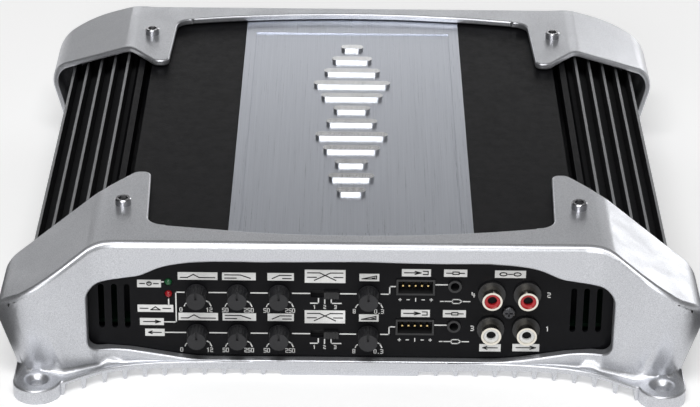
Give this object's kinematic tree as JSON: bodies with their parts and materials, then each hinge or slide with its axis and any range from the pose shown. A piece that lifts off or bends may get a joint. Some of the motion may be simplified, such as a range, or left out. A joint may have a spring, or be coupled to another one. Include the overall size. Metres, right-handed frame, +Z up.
{
  "type": "car amplifier",
  "caption": "Low finned car audio power amplifier with a black extruded heatsink, brushed centre plate, cast silver end caps with feet, and a panel of knobs and sockets at one end.",
  "frame": {"origin": "on the mounting surface, midway between the four feet", "axes": "+Z up, +X across the amplifier, the control panel faces -Y"},
  "size_m": [0.2796, 0.2902, 0.0623],
  "materials": {
    "black_anodised": "fine textured black coating, satin",
    "brushed_plate": "brushed lengthways",
    "bright_emblem": "polished raised trim",
    "cast_silver": "fine-grained metallic silver paint on a casting",
    "bright_steel": "bright zinc or nickel plate",
    "dark_steel": "blackened steel",
    "panel_black": "satin black paint with white printed marks",
    "cover_black": "satin black paint",
    "board_green": "solder resist, satin",
    "part_grey": "matt",
    "black_plastic": "matt moulded",
    "shell_nickel": "nickel plate",
    "red_plastic": "glossy moulded",
    "white_plastic": "glossy moulded",
    "contact_brass": "plated brass, bright",
    "green_lens": "tinted lens, unlit",
    "red_lens": "tinted lens, unlit",
    "chip_black": "moulded epoxy",
    "pad_grey": "soft silicone",
    "part_steel": "bare steel",
    "sleeve_blue": "shrunk sleeve",
    "core_ferrite": "pressed powder core, matt",
    "copper_wire": "enamelled copper",
    "fuse_green": "translucent moulded",
    "lever_grey": "matt moulded",
    "knob_grey": "matt moulded"
  },
  "bodies": {
    "chassis": {"heatsink": "black_anodised", "top_plate": "brushed_plate", "emblem": "bright_emblem", "front_end_cap": "cast_silver", "rear_end_cap": "cast_silver", "end_cap_screws": "bright_steel", "front_panel": "panel_black", "rear_panel": "panel_black", "panel_screws": "dark_steel", "bottom_cover": "cover_black", "cover_screws": "dark_steel", "main_board": "board_green", "control_board": "board_green", "potentiometers": "part_grey", "slide_switches": "black_plastic", "rca_housing": "black_plastic", "rca_shells": "shell_nickel", "rca_red_inserts": "red_plastic", "rca_white_inserts": "white_plastic", "input_headers": "black_plastic", "header_pins": "contact_brass", "aux_jacks": "black_plastic", "power_led": "green_lens", "protection_led": "red_lens", "power_terminal_block": "black_plastic", "power_terminal_clamps": "contact_brass", "power_terminal_screws": "bright_steel", "speaker_terminal_block": "black_plastic", "speaker_terminal_clamps": "contact_brass", "speaker_terminal_screws": "bright_steel", "fuse_holder": "black_plastic", "power_transistors": "chip_black", "insulator_pads": "pad_grey", "clamp_bars": "part_steel", "clamp_screws": "part_steel", "capacitors": "sleeve_blue", "toroid_core": "core_ferrite", "toroid_winding": "copper_wire", "output_coils": "core_ferrite"},
    "upper_bass_control": {"upper_bass_knob": "knob_grey", "upper_bass_shaft": "part_steel"},
    "upper_low_pass_control": {"upper_low_pass_knob": "knob_grey", "upper_low_pass_shaft": "part_steel"},
    "upper_high_pass_control": {"upper_high_pass_knob": "knob_grey", "upper_high_pass_shaft": "part_steel"},
    "upper_level_control": {"upper_level_knob": "knob_grey", "upper_level_shaft": "part_steel"},
    "upper_crossover_switch": {"upper_crossover_lever": "lever_grey"},
    "lower_bass_control": {"lower_bass_knob": "knob_grey", "lower_bass_shaft": "part_steel"},
    "lower_low_pass_control": {"lower_low_pass_knob": "knob_grey", "lower_low_pass_shaft": "part_steel"},
    "lower_high_pass_control": {"lower_high_pass_knob": "knob_grey", "lower_high_pass_shaft": "part_steel"},
    "lower_level_control": {"lower_level_knob": "knob_grey", "lower_level_shaft": "part_steel"},
    "lower_crossover_switch": {"lower_crossover_lever": "lever_grey"},
    "left_fuse": {"left_blade_fuse": "fuse_green"},
    "right_fuse": {"right_blade_fuse": "fuse_green"}
  },
  "joints": [
    {"name": "upper_bass_turn", "type": "hinge", "parent": "chassis", "child": "upper_bass_control", "pos_m": [-0.0612, -0.12, 0.0353], "axis": [0, 1, 0], "range_deg": [-140, 140]},
    {"name": "upper_low_pass_turn", "type": "hinge", "parent": "chassis", "child": "upper_low_pass_control", "pos_m": [-0.0449, -0.12, 0.0353], "axis": [0, 1, 0], "range_deg": [-140, 140]},
    {"name": "upper_high_pass_turn", "type": "hinge", "parent": "chassis", "child": "upper_high_pass_control", "pos_m": [-0.0284, -0.12, 0.0353], "axis": [0, 1, 0], "range_deg": [-140, 140]},
    {"name": "upper_level_turn", "type": "hinge", "parent": "chassis", "child": "upper_level_control", "pos_m": [0.0072, -0.12, 0.0353], "axis": [0, 1, 0], "range_deg": [-140, 140]},
    {"name": "upper_crossover_slide", "type": "slide", "parent": "chassis", "child": "upper_crossover_switch", "axis": [1, 0, 0], "range_m": [-0.0051, 0]},
    {"name": "lower_bass_turn", "type": "hinge", "parent": "chassis", "child": "lower_bass_control", "pos_m": [-0.0612, -0.12, 0.0171], "axis": [0, 1, 0], "range_deg": [-140, 140]},
    {"name": "lower_low_pass_turn", "type": "hinge", "parent": "chassis", "child": "lower_low_pass_control", "pos_m": [-0.0449, -0.12, 0.0171], "axis": [0, 1, 0], "range_deg": [-140, 140]},
    {"name": "lower_high_pass_turn", "type": "hinge", "parent": "chassis", "child": "lower_high_pass_control", "pos_m": [-0.0284, -0.12, 0.0171], "axis": [0, 1, 0], "range_deg": [-140, 140]},
    {"name": "lower_level_turn", "type": "hinge", "parent": "chassis", "child": "lower_level_control", "pos_m": [0.0072, -0.12, 0.0171], "axis": [0, 1, 0], "range_deg": [-140, 140]},
    {"name": "lower_crossover_slide", "type": "slide", "parent": "chassis", "child": "lower_crossover_switch", "axis": [1, 0, 0], "range_m": [-0.0051, 0]},
    {"name": "left_fuse_pull", "type": "slide", "parent": "chassis", "child": "left_fuse", "axis": [0, 1, 0], "range_m": [0, 0.022]},
    {"name": "right_fuse_pull", "type": "slide", "parent": "chassis", "child": "right_fuse", "axis": [0, 1, 0], "range_m": [0, 0.022]}
  ]
}
